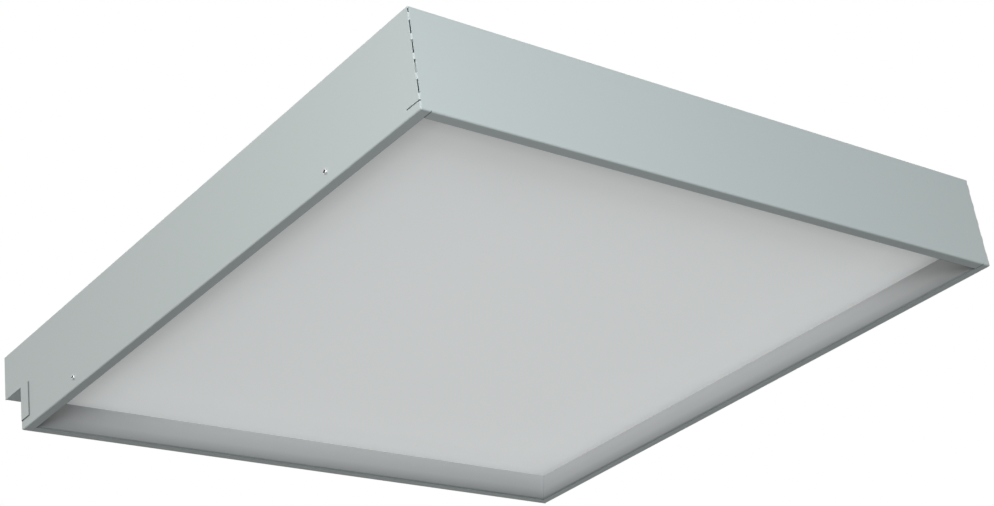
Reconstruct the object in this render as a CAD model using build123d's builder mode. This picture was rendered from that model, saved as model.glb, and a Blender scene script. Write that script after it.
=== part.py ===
"""Recessed troffer light for a 600 mm ceiling grid, seen from below in use.

Frame: +Z up, z = 0 on the underside of the lip that rests on the ceiling grid.
X runs across the body, -Y is the front wall, +Y the rear wall with its gear ledge.
The origin is at the middle of the plan outline, on the lip's underside.
"""
from build123d import *
from math import hypot, radians, tan
import os

os.makedirs("parts", exist_ok=True)

# ---- driving dimensions, millimetres ---------------------------------------------------
# body
grid_side = 595.0           # width and depth of the body at the ceiling grid
body_height = 83.0
ledge_depth = 31.0          # how far the gear ledge stands out behind the rear wall
ledge_height = 41.0         # underside of the ledge above the lip
sheet = 0.8                 # steel sheet of the body
inside_bend = 0.4           # inside radius of a folded edge
lip_width = 9.0
top_flange = 14.0
ledge_flange = 10.0         # top flange of the gear channel
seam_gap = 0.3              # open seam where two folded flanges butt
fit_gap = 0.2               # side play of a sheet laid between two walls

# perforated bends at the two front corners
slot_length = 11.0
slot_pitch = 15.9
slot_first = 18.1           # height of the lowest slot's middle
slot_count = 4
slot_width = 1.3            # on each face of the corner
short_slot_length = 3.5
short_slot_drop = 3.7       # from the body's top to the short slot's middle
relief_length = 15.8        # saw cut under the bend, along the side wall
relief_height = 7.0
relief_width = 1.2

# rear plate
tab_length = 15.0
tab_foot = 8.5              # lower end of the tab that laps the side wall
rear_flange = 15.0

# diffuser rails
rail_foot = 10.0            # inset of the rail's visible face at its foot
end_rail_head = 16.4        # inset of the leaning end rails at their head
rail_height = 24.4
rail_end_gap = 3.0
rail_flange = 5.0
rail_leg = 17.0
wall_gap = 0.2              # between a rail's back leg and the wall
rail_screw_height = 10.3
rail_screw_front = 113.4    # from the front wall
rail_screw_rear = 97.5      # from the rear wall

# diffuser
diffuser_thickness = 3.0
diffuser_play = 2.0
diffuser_rest_gap = 0.2
diffuser_corner = 3.0

# reflector tray
tray_sheet = 0.6
tray_foot_lift = 1.5        # of the slopes' foot above the ledge's underside
tray_run = 30.0             # how far each sloping side runs out
tray_foot_inset = 5.0       # from the walls to the foot of the slope
tray_rear_inset = 19.0      # the rear slope stays clear of the gear
tray_rivet_inset = 12.0

# light boards
board_count = 5
board_side_gap = 45.7       # from the outer boards' middles to the tray's bends
board_end_gap = 25.1        # from the boards' ends to the tray's bends
board_width = 18.0
board_thickness = 1.6
board_screw_inset = 24.0
led_count = 24
led_end_inset = 12.0
led_length = 3.5
led_width = 2.8
led_height = 0.7
connector_length = 9.0
connector_width = 12.0
connector_height = 4.5
connector_chamfer = 0.5
link_wire_radius = 0.8
link_wire_spacing = 4.0

# gear opening and its cover
opening_side_gap = 72.5     # from the side walls to the opening's ends
opening_front = 30.0        # from the rear wall's outer face forwards
opening_width = 40.0
cover_side_lap = 8.0
cover_rear_lap = 9.0
cover_lift = 0.2
hook_count = 2
hook_spacing = 300.0
hook_width = 24.0
hook_reach = 8.0
hook_side_gap = 0.4
hook_under_gap = 0.3
cover_fixing_inset = 45.0   # from the opening's ends to the cover's screws
cover_screw_hole_gap = 0.8

# supply terminal block
block_side_gap = 93.5       # from the side wall to the block's middle
block_length = 20.0
block_width = 29.0
block_height = 18.0
block_ear = 7.0
block_ear_height = 3.0
block_chamfer = 0.8
pole_pitch = 9.0
button_length = 6.0
button_width = 5.0
button_gap = 0.2
button_depth = 4.0
button_stand = 2.0
button_travel = 1.5
button_chamfer = 0.4
pocket_spare = 0.5
entry_radius = 1.7
entry_depth = 6.5
lead_height = 8.0           # of the wires above the ledge floor

# earth terminal
earth_distance = 34.0       # from the terminal block's face to the earth screw
lug_thickness = 0.8
lug_radius = 4.5
lug_barrel_radius = 1.9
lug_barrel_length = 6.0
lug_lap = 0.5               # of the barrel over the ring
washer_thickness = 0.6
washer_radius = 3.8

# driver
driver_block_gap = 56.0     # from the terminal block's face to the driver
driver_side_gap = 99.5      # from the driver's far end to the other side wall
driver_ear = 12.0
driver_width = 29.0
driver_height = 21.0
driver_wall = 1.0
driver_lid_end = 26.0       # open length at each end, over the terminals
driver_post_height = 2.0
driver_post_radius = 2.0
driver_board_thickness = 1.6
driver_terminal_length = 14.0
driver_terminal_width = 24.0
driver_terminal_height = 11.0
driver_terminal_chamfer = 1.4
driver_post_inset = 20.0    # from the driver's ends to the board's posts
driver_post_spacing_y = 19.0
driver_lid_gap = 0.1
driver_lid_lip = 4.0
transformer_distance = 128.0     # from the driver's input end
core_length = 30.0
core_width = 22.0
core_height = 12.0
core_limb = 5.0
winding_height = 11.0
winding_corner = 1.0
choke_distance = 56.0
choke_radius = 8.0
choke_bore_radius = 3.5
choke_height = 7.0
choke_edge = 1.75
capacitor_distance = 82.0        # of the nearest capacitor on the input side
capacitor_pitch = 14.0
output_capacitor_distance = 86.0 # from the driver's output end
output_capacitor_pitch = 16.0
capacitor_radius = 5.0
capacitor_height = 12.0
capacitor_edge = 0.8

# openings and wires
inlet_side_gap = 41.5       # from the side wall to the inlet's middle
inlet_behind = 7.0          # from the rear wall's outer face back to the inlet
inlet_hole_radius = 10.0
inlet_bore_radius = 5.0
grommet_flange = 3.0
grommet_rim = 2.0
grommet_edge = 0.7
wire_radius = 1.1
lead_gap = 5.0              # between the two output leads
lead_bend_distance = 26.0   # from the driver's end to the leads' run to the boards
bushing_radius = 6.5
bushing_wall = 1.6
bushing_length = 9.0
earth_run = 7.0              # straight run at each end of the earth wire
lead_inner_run = 16.0        # from the bushing to the leads' rise
lead_last_run = 18.0
arc_share = 0.45             # of the shorter run, taken up by a corner's arc

# suspension holes
suspension_spacing_y = 400.0
suspension_radius = 3.0

# rivets of the top panel
side_rivet_end = 37.2       # from the body's front and rear to the side flanges' end rivets
front_rivet_end = 148.8     # from the side walls to the front flange's rivets
rear_rivet_end = 89.2       # from the side walls to the rear flange's end rivets

# fasteners: head radius, head height, shank radius
rail_screw = (2.4, 1.2, 1.2)
gear_screw = (3.0, 1.6, 1.5)
board_screw = (2.6, 1.5, 1.3)
rivet = (3.2, 1.0, 1.6)
earth_screw = (3.3, 2.0, 1.9)
shank_gap = 0.1
rivet_tail = 1.0
rail_screw_length = 5.0
cover_screw_tail = 3.0
board_screw_edge = 1.0      # from a board screw's head to the board's long edge
head_taper = 25.0
cross_share = 0.62          # length of the cross recess over the head's diameter
cross_width = 0.7
cross_depth = 0.6

# ---- places worked out from the driving dimensions --------------------------------------
half_width = grid_side / 2
front_y = -(grid_side + ledge_depth) / 2
rear_y = front_y + grid_side
back_y = rear_y + ledge_depth
middle_y = (front_y + rear_y) / 2
outside_bend = inside_bend + sheet
flange_underside = body_height - sheet
panel_underside = flange_underside - sheet
ledge_floor = ledge_height + sheet
tray_underside = panel_underside - tray_sheet
tray_foot_height = ledge_height + tray_foot_lift
gear_y = back_y - outside_bend - fit_gap - driver_width / 2
opening_length = grid_side - 2 * opening_side_gap
opening_front_y = rear_y - opening_front
opening_rear_y = opening_front_y + opening_width
opening_middle_y = (opening_front_y + opening_rear_y) / 2
rail_screw_ys = (front_y + rail_screw_front, rear_y - rail_screw_rear)
suspension_x = half_width - top_flange / 2
lead_z = ledge_floor + lead_height
pole_ys = [gear_y + step * pole_pitch for step in (-1, 0, 1)]
inlet_x = -half_width + inlet_side_gap
block_x = -half_width + block_side_gap
block_face_x = block_x + block_length / 2
block_screw_x = block_x - block_length / 2 - block_ear / 2
earth_x = block_face_x + earth_distance
earth_y = pole_ys[2]
driver_start_x = block_face_x + driver_block_gap
driver_end_x = half_width - driver_side_gap
driver_x = (driver_start_x + driver_end_x) / 2
driver_body = driver_end_x - driver_start_x
transformer_x = driver_start_x + transformer_distance
choke_x = driver_start_x + choke_distance
capacitor_xs = (
    driver_start_x + capacitor_distance,
    driver_start_x + capacitor_distance + capacitor_pitch,
    driver_end_x - output_capacitor_distance - output_capacitor_pitch,
    driver_end_x - output_capacitor_distance,
)
driver_screw_places = [
    (driver_start_x - driver_ear / 2, gear_y),
    (driver_end_x + driver_ear / 2, gear_y),
]


def save(block, name):
    """Label a finished piece and write it under its own name."""
    block.part.label = name
    export_step(block.part, f"parts/{name}.step")


def across_wall(corner, inwards):
    """A plane across a wall: its X runs inwards from the wall's outer face, its Y runs up."""
    return Plane(origin=corner, x_dir=inwards, z_dir=Vector(*inwards).cross(Vector(0, 0, 1)))


def on_surface(point, outwards):
    """A plane lying on a surface, facing outwards."""
    return Plane(origin=point, z_dir=outwards)


# ---- wall wrap: front wall and both side walls, folded from one sheet --------------------
with BuildPart() as wrap_hollow:
    with BuildSketch(Plane.YZ.offset(-half_width + sheet)):
        with Locations((front_y + sheet, sheet)):
            Rectangle(
                grid_side + ledge_depth, body_height - 2 * sheet, align=(Align.MIN, Align.MIN)
            )
    extrude(amount=grid_side - 2 * sheet)
    fillet(wrap_hollow.edges().sort_by(Axis.Y)[:8], inside_bend)

suspension_places = [
    (side * suspension_x, middle_y + end * suspension_spacing_y / 2)
    for side in (-1, 1)
    for end in (-1, 1)
]
side_rivet_places = [
    (side * suspension_x, middle_y + step * (half_width - side_rivet_end))
    for side in (-1, 1)
    for step in (-1, 0, 1)
]
front_rivet_places = [
    (side * (half_width - front_rivet_end), front_y + top_flange / 2) for side in (-1, 1)
]
rear_rivet_places = [
    (step * (half_width - rear_rivet_end), back_y - ledge_flange / 2) for step in (-1, 0, 1)
]
panel_rivet_places = side_rivet_places + front_rivet_places + rear_rivet_places

with BuildPart() as wall_wrap:
    with BuildSketch(Plane.YZ.offset(-half_width)):
        with BuildLine():
            Polyline(
                (front_y, 0),
                (rear_y - outside_bend, 0),
                (rear_y - outside_bend, ledge_height),
                (back_y, ledge_height),
                (back_y, body_height),
                (front_y, body_height),
                close=True,
            )
        make_face()
    extrude(amount=grid_side)
    long_edges = wall_wrap.edges().filter_by(Axis.Y)
    lowest_edges = long_edges.group_by(Axis.Z)[0]
    highest_edges = long_edges.group_by(Axis.Z)[-1]
    front_edges = wall_wrap.faces().sort_by(Axis.Y)[0].edges()
    fillet(lowest_edges + highest_edges + front_edges, outside_bend)
    add(wrap_hollow.part, mode=Mode.SUBTRACT)

    # the light opening between the lips, and the top between the flanges
    with BuildSketch(Plane.XY):
        with Locations((0, front_y + lip_width)):
            Rectangle(grid_side - 2 * lip_width, grid_side, align=(Align.CENTER, Align.MIN))
    extrude(amount=sheet, mode=Mode.SUBTRACT)
    with BuildSketch(Plane.XY.offset(flange_underside)):
        with Locations((0, front_y + top_flange)):
            Rectangle(
                grid_side - 2 * top_flange, grid_side + ledge_depth, align=(Align.CENTER, Align.MIN)
            )
    extrude(amount=sheet, mode=Mode.SUBTRACT)

    # seams where the front flanges butt against the side flanges
    for side in (-1, 1):
        with BuildSketch(Plane.XY):
            with Locations((side * (half_width - lip_width - seam_gap / 2), front_y + outside_bend)):
                Rectangle(seam_gap, lip_width, align=(Align.CENTER, Align.MIN))
        extrude(amount=sheet, mode=Mode.SUBTRACT)
        with BuildSketch(Plane.XY.offset(flange_underside)):
            with Locations((side * (half_width - top_flange - seam_gap / 2), front_y + outside_bend)):
                Rectangle(seam_gap, top_flange, align=(Align.CENTER, Align.MIN))
        extrude(amount=sheet, mode=Mode.SUBTRACT)

    # slots along both front corner bends, and the relief cut below them
    slot_places = [(slot_first + step * slot_pitch, slot_length) for step in range(slot_count)]
    slot_places.append((body_height - short_slot_drop, short_slot_length))
    for side in (-1, 1):
        for middle, length in slot_places:
            with BuildSketch(Plane.XY.offset(middle - length / 2)):
                with Locations((side * half_width, front_y)):
                    Rectangle(2 * slot_width, 2 * slot_width)
            extrude(amount=length, mode=Mode.SUBTRACT)
        with BuildSketch(Plane.XY.offset(relief_height - relief_width / 2)):
            with Locations((side * half_width, front_y)):
                Rectangle(2 * slot_width, 2 * relief_length)
        extrude(amount=relief_width, mode=Mode.SUBTRACT)

    # holes for the rail screws, the suspension wires and the panel rivets
    with BuildSketch(Plane.YZ.offset(-half_width)):
        with Locations(*[(y, rail_screw_height) for y in rail_screw_ys]):
            Circle(rail_screw[2] + shank_gap)
    extrude(amount=grid_side, mode=Mode.SUBTRACT)
    with BuildSketch(Plane.XY.offset(flange_underside)):
        with Locations(*suspension_places):
            Circle(suspension_radius)
        with Locations(*side_rivet_places, *front_rivet_places):
            Circle(rivet[2] + shank_gap)
    extrude(amount=sheet, mode=Mode.SUBTRACT)
save(wall_wrap, "wall_wrap")

# ---- rear plate: lower rear wall with its lip, lapping tabs and shelf flange --------------
with BuildPart() as rear_hollow:
    with BuildSketch(Plane.XY.offset(sheet)):
        with Locations((0, rear_y - sheet)):
            Rectangle(grid_side, grid_side, align=(Align.CENTER, Align.MAX))
    extrude(amount=ledge_height - 2 * sheet)
    fillet(rear_hollow.faces().sort_by(Axis.Y)[-1].edges(), inside_bend)

with BuildPart() as rear_plate:
    with BuildSketch(Plane.XY):
        with Locations((0, rear_y)):
            Rectangle(grid_side + 2 * sheet, tab_length, align=(Align.CENTER, Align.MAX))
    extrude(amount=ledge_height)
    rear_face_edges = rear_plate.faces().sort_by(Axis.Y)[-1].edges()
    fillet(rear_face_edges, outside_bend)
    add(rear_hollow.part, mode=Mode.SUBTRACT)
    # lip and shelf flange, cut back from the side walls
    with BuildSketch(Plane.XY):
        with Locations((0, rear_y - lip_width)):
            Rectangle(grid_side + 4 * sheet, grid_side, align=(Align.CENTER, Align.MAX))
        for side in (-1, 1):
            with Locations((side * (half_width + 2 * sheet), rear_y - outside_bend)):
                Rectangle(
                    2 * (lip_width + 2 * sheet + seam_gap), lip_width, align=(Align.CENTER, Align.MAX)
                )
    extrude(amount=sheet, mode=Mode.SUBTRACT)
    with BuildSketch(Plane.XY.offset(ledge_height - sheet)):
        for side in (-1, 1):
            with Locations((side * (half_width + 2 * sheet), rear_y - outside_bend)):
                Rectangle(
                    2 * (3 * sheet + fit_gap), rear_flange, align=(Align.CENTER, Align.MAX)
                )
    extrude(amount=sheet, mode=Mode.SUBTRACT)
    # below the tabs the plate ends flush with the side walls
    for side in (-1, 1):
        with BuildSketch(Plane.XY):
            with Locations((side * (half_width + sheet), rear_y)):
                Rectangle(2 * sheet, 2 * grid_side)
        extrude(amount=tab_foot, mode=Mode.SUBTRACT)
save(rear_plate, "rear_plate")

# ---- gear channel: ledge floor, ledge back wall and its end tabs --------------------------
channel_half = half_width - sheet - fit_gap / 2
channel_front_y = rear_y - rear_flange

with BuildPart() as channel_hollow:
    with BuildSketch(Plane.XY.offset(ledge_floor)):
        with Locations((0, back_y - sheet)):
            Rectangle(2 * (channel_half - sheet), grid_side, align=(Align.CENTER, Align.MAX))
    extrude(amount=flange_underside - ledge_floor)
    fillet(channel_hollow.faces().sort_by(Axis.Y)[-1].edges(), inside_bend)

with BuildPart() as gear_channel:
    with BuildSketch(Plane.XY.offset(ledge_height)):
        with Locations((0, back_y)):
            Rectangle(2 * channel_half, back_y - channel_front_y, align=(Align.CENTER, Align.MAX))
    extrude(amount=body_height - ledge_height)
    fillet(gear_channel.faces().sort_by(Axis.Y)[-1].edges(), outside_bend)
    add(channel_hollow.part, mode=Mode.SUBTRACT)
    # the top flange is narrow and ends short of the side walls' own flanges
    with BuildSketch(Plane.XY.offset(flange_underside)):
        with Locations((0, back_y - ledge_flange)):
            Rectangle(grid_side, grid_side, align=(Align.CENTER, Align.MAX))
        for side in (-1, 1):
            with Locations((side * half_width, back_y)):
                Rectangle(2 * (top_flange + seam_gap), 2 * (ledge_flange + sheet))
    extrude(amount=sheet, mode=Mode.SUBTRACT)
    # end tabs stand behind the rear wall and stop under the top panel
    with BuildSketch(Plane.XY.offset(ledge_floor + inside_bend)):
        with Locations((0, rear_y + sheet)):
            Rectangle(grid_side, grid_side, align=(Align.CENTER, Align.MAX))
    extrude(amount=body_height, mode=Mode.SUBTRACT)
    with BuildSketch(Plane.XY.offset(panel_underside - fit_gap)):
        with Locations((0, back_y - outside_bend)):
            Rectangle(grid_side, ledge_depth - outside_bend, align=(Align.CENTER, Align.MAX))
    extrude(amount=flange_underside - panel_underside + fit_gap, mode=Mode.SUBTRACT)
    # rivet holes in the top flange, and the holes of the gear's screws in the floor
    with BuildSketch(Plane.XY.offset(flange_underside)):
        with Locations(*rear_rivet_places):
            Circle(rivet[2] + shank_gap)
    extrude(amount=sheet, mode=Mode.SUBTRACT)
    with BuildSketch(Plane.XY.offset(ledge_height)):
        with Locations(*driver_screw_places, (block_screw_x, gear_y)):
            Circle(gear_screw[2] + shank_gap)
        with Locations((earth_x, earth_y)):
            Circle(earth_screw[2] + shank_gap)
    extrude(amount=sheet, mode=Mode.SUBTRACT)
save(gear_channel, "gear_channel")

# ---- top panel: lies under the flanges, with the gear opening and all its holes ----------
tray_half_width = half_width - sheet - tray_foot_inset
tray_front_y = front_y + sheet + tray_foot_inset
tray_rear_y = rear_y - tray_rear_inset
tray_middle_y = (tray_front_y + tray_rear_y) / 2
tray_depth = tray_rear_y - tray_front_y
tray_rise = panel_underside - tray_foot_height
tray_rivet_places = [
    (
        side * (tray_half_width - tray_run - tray_rivet_inset),
        tray_middle_y + end * (tray_depth / 2 - tray_run - tray_rivet_inset),
    )
    for side in (-1, 1)
    for end in (-1, 1)
]
cover_screw_y = opening_rear_y + cover_rear_lap / 2
cover_screw_places = [
    (side * (opening_length / 2 - cover_fixing_inset), cover_screw_y) for side in (-1, 1)
]
inlet_y = rear_y + inlet_behind

with BuildPart() as top_panel:
    with BuildSketch(Plane.XY.offset(panel_underside)):
        Rectangle(2 * (half_width - outside_bend - fit_gap), 2 * (back_y - outside_bend - fit_gap))
        with Locations((0, opening_middle_y)):
            Rectangle(opening_length, opening_width, mode=Mode.SUBTRACT)
        with Locations((inlet_x, inlet_y)):
            Circle(inlet_hole_radius, mode=Mode.SUBTRACT)
        with Locations(*suspension_places):
            Circle(suspension_radius, mode=Mode.SUBTRACT)
        with Locations(*panel_rivet_places, *tray_rivet_places):
            Circle(rivet[2] + shank_gap, mode=Mode.SUBTRACT)
        with Locations(*cover_screw_places):
            Circle(gear_screw[2] + cover_screw_hole_gap, mode=Mode.SUBTRACT)
    extrude(amount=sheet)
save(top_panel, "top_panel")

# ---- fasteners: like screws or rivets share one function ---------------------------------
def fasteners(planes, size, length, cross=True):
    """Like fasteners, each seated on its plane with its shank along the plane's -Z."""
    head_radius, head_height, shank_radius = size
    with BuildPart() as fastener_set:
        for plane in planes:
            with BuildSketch(plane):
                Circle(head_radius)
            extrude(amount=head_height, taper=head_taper)
            with BuildSketch(plane):
                Circle(shank_radius)
            extrude(amount=-length)
            if cross:
                with BuildSketch(plane.offset(head_height)):
                    Rectangle(2 * cross_share * head_radius, cross_width)
                    Rectangle(cross_width, 2 * cross_share * head_radius)
                extrude(amount=-cross_depth, mode=Mode.SUBTRACT)
    return fastener_set


rivet_grip = 2 * sheet + rivet_tail
flange_planes = [
    on_surface((x, y, body_height), (0, 0, 1)) for x, y in panel_rivet_places
]
save(fasteners(flange_planes, rivet, rivet_grip, cross=False), "panel_rivets")

tray_rivet_planes = [
    on_surface((x, y, flange_underside), (0, 0, 1)) for x, y in tray_rivet_places
]
tray_rivet_grip = sheet + tray_sheet + rivet_tail
save(fasteners(tray_rivet_planes, rivet, tray_rivet_grip, cross=False), "tray_rivets")

rail_screw_planes = [
    on_surface((side * half_width, y, rail_screw_height), (side, 0, 0))
    for side in (-1, 1)
    for y in rail_screw_ys
]
save(fasteners(rail_screw_planes, rail_screw, rail_screw_length), "rail_screws")

# ---- diffuser rails: folded channels along the four walls --------------------------------
side_rail_length = rear_y - front_y - 2 * (sheet + rail_end_gap)
end_rail_half = half_width - rail_foot - fit_gap


def rail(plane, length, head_inset):
    """A folded channel: foot flange, visible face, top web under the diffuser, back leg."""
    with BuildPart() as channel:
        with BuildSketch(plane):
            with BuildLine():
                FilletPolyline(
                    (rail_foot - rail_flange, sheet),
                    (rail_foot, sheet),
                    (head_inset, rail_height),
                    (sheet + wall_gap, rail_height),
                    (sheet + wall_gap, rail_height - rail_leg),
                    radius=outside_bend,
                )
                offset(amount=sheet, side=Side.LEFT)
            make_face()
        extrude(amount=length)
    return channel


rail_starts = {
    "rail_left": ((-half_width, rear_y - sheet - rail_end_gap, 0), (1, 0, 0)),
    "rail_right": ((half_width, front_y + sheet + rail_end_gap, 0), (-1, 0, 0)),
}
for name, (corner, inwards) in rail_starts.items():
    with BuildPart() as side_rail:
        add(rail(across_wall(corner, inwards), side_rail_length, rail_foot).part)
        with BuildSketch(Plane(origin=(corner[0], 0, 0), x_dir=(0, 1, 0), z_dir=inwards)):
            with Locations(*[(y, inwards[0] * rail_screw_height) for y in rail_screw_ys]):
                Circle(rail_screw[2] + shank_gap)
        extrude(amount=rail_foot / 2, mode=Mode.SUBTRACT)
    save(side_rail, name)

rail_front_plane = across_wall((-end_rail_half, front_y, 0), (0, 1, 0))
save(rail(rail_front_plane, 2 * end_rail_half, end_rail_head), "rail_front")
rail_rear_plane = across_wall((end_rail_half, rear_y, 0), (0, -1, 0))
save(rail(rail_rear_plane, 2 * end_rail_half, end_rail_head), "rail_rear")

# ---- diffuser: opal sheet lying on the rails, free to lift ---------------------------------
diffuser_inset = sheet + diffuser_play
with BuildPart() as diffuser:
    with BuildSketch(Plane.XY.offset(rail_height + diffuser_rest_gap)):
        with Locations((0, middle_y)):
            RectangleRounded(
                grid_side - 2 * diffuser_inset, grid_side - 2 * diffuser_inset, diffuser_corner
            )
    extrude(amount=diffuser_thickness)
save(diffuser, "diffuser")

# ---- reflector tray: inverted white tray with four sloping sides ---------------------------
tray_wall = tray_sheet * hypot(tray_run, tray_rise) / tray_rise
bushing_x = driver_end_x + lead_bend_distance
bushing_y = tray_rear_y - tray_run * (lead_z - tray_foot_height) / tray_rise
board_length = tray_depth - 2 * (tray_run + board_end_gap)
board_pitch = 2 * (tray_half_width - tray_run - board_side_gap) / (board_count - 1)
board_xs = [(step - (board_count - 1) / 2) * board_pitch for step in range(board_count)]
board_screw_x = board_width / 2 - board_screw[0] - board_screw_edge
board_screw_places = [
    (x + board_screw_x, tray_middle_y + step * (board_length / 2 - board_screw_inset))
    for x in board_xs
    for step in (-1, 0, 1)
]


def tray_block(inset, foot, head):
    """The solid between the tray's slopes, drawn in by an inset, from foot to head height."""
    with BuildPart() as block:
        for height in (foot, head):
            run_in = tray_run * (height - tray_foot_height) / tray_rise + inset
            with BuildSketch(Plane.XY.offset(height)):
                with Locations((0, tray_middle_y)):
                    Rectangle(2 * (tray_half_width - run_in), tray_depth - 2 * run_in)
        loft(ruled=True)
    return block


with BuildPart() as reflector_tray:
    add(tray_block(0, tray_foot_height, panel_underside).part)
    add(tray_block(tray_wall, tray_foot_height, tray_underside).part, mode=Mode.SUBTRACT)
    with BuildSketch(Plane.XY.offset(tray_underside)):
        with Locations(*tray_rivet_places):
            Circle(rivet[2] + shank_gap)
        with Locations(*board_screw_places):
            Circle(board_screw[2] + shank_gap)
    extrude(amount=tray_sheet, mode=Mode.SUBTRACT)
    with BuildSketch(Plane.XZ.offset(-bushing_y - tray_run)):
        with Locations((bushing_x, lead_z)):
            Circle(bushing_radius)
    extrude(amount=2 * tray_run, mode=Mode.SUBTRACT)
save(reflector_tray, "reflector_tray")

# ---- light boards, their diodes and connectors ---------------------------------------------
board_underside = tray_underside - board_thickness
connector_y = tray_middle_y + board_length / 2 - connector_length / 2
led_first_y = tray_middle_y - board_length / 2 + led_end_inset
led_last_y = connector_y - connector_length / 2 - led_end_inset
led_pitch = (led_last_y - led_first_y) / (led_count - 1)

for number, x in enumerate(board_xs, start=1):
    with BuildPart() as board:
        with BuildSketch(Plane.XY.offset(board_underside)):
            with Locations((x, tray_middle_y)):
                Rectangle(board_width, board_length)
            with Locations(*[place for place in board_screw_places if place[0] == x + board_screw_x]):
                Circle(board_screw[2] + shank_gap, mode=Mode.SUBTRACT)
        extrude(amount=board_thickness)
    save(board, f"led_board_{number}")

    with BuildPart() as diodes:
        with BuildSketch(Plane.XY.offset(board_underside)):
            with Locations((x, (led_first_y + led_last_y) / 2)):
                with GridLocations(board_width, led_pitch, 1, led_count):
                    Rectangle(led_width, led_length)
        extrude(amount=-led_height)
    save(diodes, f"led_row_{number}")

    with BuildPart() as connector:
        with BuildSketch(Plane.XY.offset(board_underside)):
            with Locations((x, connector_y)):
                Rectangle(connector_width, connector_length)
        extrude(amount=-connector_height)
        chamfer(connector.faces().sort_by(Axis.Z)[0].edges(), connector_chamfer)
    save(connector, f"led_connector_{number}")

board_screw_planes = [
    on_surface((x, y, board_underside), (0, 0, -1)) for x, y in board_screw_places
]
board_screw_grip = board_thickness + tray_sheet
save(fasteners(board_screw_planes, board_screw, board_screw_grip), "board_screws")

link_z = board_underside - connector_height / 2
with BuildPart() as link_wires:
    for x in board_xs[:-1]:
        with BuildSketch(Plane.YZ.offset(x + connector_width / 2)):
            for side in (-1, 1):
                with Locations((connector_y + side * link_wire_spacing / 2, link_z)):
                    Circle(link_wire_radius)
        extrude(amount=board_pitch - connector_width)
save(link_wires, "link_wires")

# ---- gear cover: hooks under the top panel and swings up on its front edge -----------------
cover_underside = flange_underside + cover_lift
cover_front_y = opening_front_y + hook_side_gap
hook_top = panel_underside - hook_under_gap
hook_xs = [(step - (hook_count - 1) / 2) * hook_spacing for step in range(hook_count)]

with BuildPart() as gear_cover:
    with BuildSketch(Plane.XY.offset(cover_underside)):
        with Locations((0, cover_front_y)):
            Rectangle(
                opening_length + 2 * cover_side_lap,
                opening_rear_y + cover_rear_lap - cover_front_y,
                align=(Align.CENTER, Align.MIN),
            )
        with Locations(*cover_screw_places):
            Circle(gear_screw[2] + shank_gap, mode=Mode.SUBTRACT)
    extrude(amount=sheet)
    for x in hook_xs:
        with BuildSketch(Plane.YZ.offset(x - hook_width / 2)):
            with BuildLine():
                Polyline(
                    (cover_front_y, cover_underside),
                    (cover_front_y, hook_top),
                    (opening_front_y - hook_reach, hook_top),
                    (opening_front_y - hook_reach, hook_top - sheet),
                    (cover_front_y + sheet, hook_top - sheet),
                    (cover_front_y + sheet, cover_underside),
                    close=True,
                )
            make_face()
        extrude(amount=hook_width)
save(gear_cover, "gear_cover")

cover_screw_length = 2 * sheet + cover_lift + cover_screw_tail
cover_screw_planes = [
    on_surface((x, y, cover_underside + sheet), (0, 0, 1)) for x, y in cover_screw_places
]
save(fasteners(cover_screw_planes, gear_screw, cover_screw_length), "cover_screws")

# ---- supply terminal block with one release button for each pole ----------------------------
block_top = ledge_floor + block_height
pocket_depth = button_depth + button_travel + pocket_spare

with BuildPart() as terminal_block:
    with BuildSketch(Plane.XY.offset(ledge_floor)):
        with Locations((block_x, gear_y)):
            Rectangle(block_length, block_width)
    extrude(amount=block_height)
    chamfer(terminal_block.faces().sort_by(Axis.Z)[-1].edges(), block_chamfer)
    with BuildSketch(Plane.XY.offset(ledge_floor)):
        with Locations((block_x - block_length / 2, gear_y)):
            Rectangle(block_ear, 2 * block_ear, align=(Align.MAX, Align.CENTER))
        with Locations((block_x - block_length / 2 - block_ear / 2, gear_y)):
            Circle(gear_screw[2] + shank_gap, mode=Mode.SUBTRACT)
    extrude(amount=block_ear_height)
    with BuildSketch(Plane.XY.offset(block_top)):
        with Locations(*[(block_x, y) for y in pole_ys]):
            Rectangle(button_length + 2 * button_gap, button_width + 2 * button_gap)
    extrude(amount=-pocket_depth, mode=Mode.SUBTRACT)
    with BuildSketch(Plane.YZ.offset(block_x - block_length / 2)):
        with Locations(*[(y, lead_z) for y in pole_ys]):
            Circle(entry_radius)
    extrude(amount=entry_depth, mode=Mode.SUBTRACT)
save(terminal_block, "terminal_block")

for name, y in zip(("button_live", "button_neutral", "button_earth"), pole_ys):
    with BuildPart() as button:
        with BuildSketch(Plane.XY.offset(block_top - button_depth)):
            with Locations((block_x, y)):
                Rectangle(button_length, button_width)
        extrude(amount=button_depth + button_stand)
        chamfer(button.faces().sort_by(Axis.Z)[-1].edges(), button_chamfer)
    save(button, name)

block_screw_plane = on_surface((block_screw_x, gear_y, ledge_floor + block_ear_height), (0, 0, 1))
save(fasteners([block_screw_plane], gear_screw, block_ear_height + sheet), "terminal_screw")

# ---- earth terminal: ring lug under a screw and washer on the ledge floor --------------------
barrel_x = earth_x - lug_radius - lug_barrel_length + lug_lap
barrel_z = ledge_floor + lug_barrel_radius

with BuildPart() as earth_lug:
    with BuildSketch(Plane.XY.offset(ledge_floor)):
        with Locations((earth_x, earth_y)):
            Circle(lug_radius)
            Circle(earth_screw[2] + shank_gap, mode=Mode.SUBTRACT)
    extrude(amount=lug_thickness)
    with BuildSketch(Plane.YZ.offset(barrel_x)):
        with Locations((earth_y, barrel_z)):
            Circle(lug_barrel_radius)
    extrude(amount=lug_barrel_length)
save(earth_lug, "earth_lug")

with BuildPart() as earth_washer:
    with BuildSketch(Plane.XY.offset(ledge_floor + lug_thickness)):
        with Locations((earth_x, earth_y)):
            Circle(washer_radius)
            Circle(earth_screw[2] + shank_gap, mode=Mode.SUBTRACT)
    extrude(amount=washer_thickness)
save(earth_washer, "earth_washer")

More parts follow.
